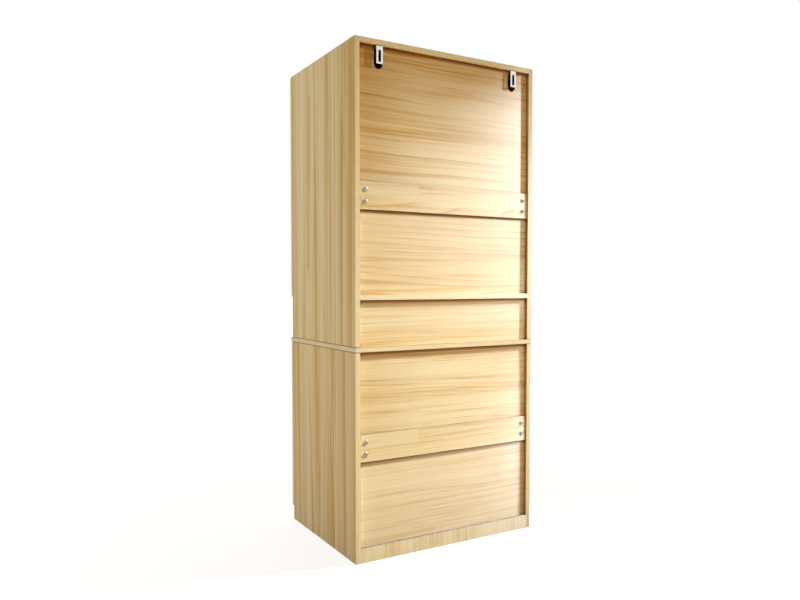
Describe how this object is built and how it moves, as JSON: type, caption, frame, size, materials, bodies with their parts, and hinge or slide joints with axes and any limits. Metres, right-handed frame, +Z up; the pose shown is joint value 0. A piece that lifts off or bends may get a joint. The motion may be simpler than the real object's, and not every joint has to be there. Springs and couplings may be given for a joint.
{
  "type": "two-door wardrobe",
  "caption": "Tall wood-grain wardrobe with paired doors above and below an open niche, a clothes rail, a shelf, cup hinges and slotted wall brackets.",
  "frame": {"origin": "on the floor, under the middle of the whole, handles included", "axes": "+Z up, -Y to the front, +X to the right seen from the front"},
  "size_m": [0.77, 0.6184, 1.8],
  "materials": {
    "board": "satin wood-grain laminate",
    "back_board": "satin wood-grain laminate",
    "handle_metal": "brushed",
    "hinge_metal": "nickel plated",
    "cam_metal": "zinc cast",
    "bracket_metal": "pale zinc plate",
    "tube_metal": "polished"
  },
  "bodies": {
    "cabinet": {"top_panel": "board", "fixed_shelf": "board", "worktop": "board", "bottom_panel": "board", "front_plinth": "board", "back_plinth": "board", "upper_back_rail": "board", "lower_back_rail": "board", "lower_shelf": "board", "upper_side_left": "board", "upper_side_right": "board", "lower_side_left": "board", "lower_side_right": "board", "niche_back_panel": "back_board", "upper_back_panel_bottom": "back_board", "upper_back_panel_top": "back_board", "lower_back_panel_bottom": "back_board", "lower_back_panel_top": "back_board", "hinge_arms": "hinge_metal", "hinge_plates": "hinge_metal", "shelf_supports": "hinge_metal", "upper_rail_cams": "cam_metal", "lower_rail_cams": "cam_metal", "wall_bracket_left": "bracket_metal", "wall_bracket_right": "bracket_metal", "clothes_rail": "tube_metal", "rail_socket_left": "tube_metal", "rail_socket_right": "tube_metal"},
    "upper_left_leaf": {"upper_left_door": "board", "upper_left_handle": "handle_metal", "upper_left_hinge_cups": "hinge_metal"},
    "upper_right_leaf": {"upper_right_door": "board", "upper_right_handle": "handle_metal", "upper_right_hinge_cups": "hinge_metal"},
    "lower_left_leaf": {"lower_left_door": "board", "lower_left_handle": "handle_metal", "lower_left_hinge_cups": "hinge_metal"},
    "lower_right_leaf": {"lower_right_door": "board", "lower_right_handle": "handle_metal", "lower_right_hinge_cups": "hinge_metal"}
  },
  "joints": [
    {"name": "upper_left_hinge", "type": "hinge", "parent": "cabinet", "child": "upper_left_leaf", "pos_m": [-0.376, -0.27175, 1.3575], "axis": [0, 0, -1], "range_deg": [0, 100]},
    {"name": "upper_right_hinge", "type": "hinge", "parent": "cabinet", "child": "upper_right_leaf", "pos_m": [0.376, -0.27175, 1.3575], "axis": [0, 0, 1], "range_deg": [0, 100]},
    {"name": "lower_left_hinge", "type": "hinge", "parent": "cabinet", "child": "lower_left_leaf", "pos_m": [-0.376, -0.27175, 0.39125], "axis": [0, 0, -1], "range_deg": [0, 100]},
    {"name": "lower_right_hinge", "type": "hinge", "parent": "cabinet", "child": "lower_right_leaf", "pos_m": [0.376, -0.27175, 0.39125], "axis": [0, 0, 1], "range_deg": [0, 100]}
  ]
}
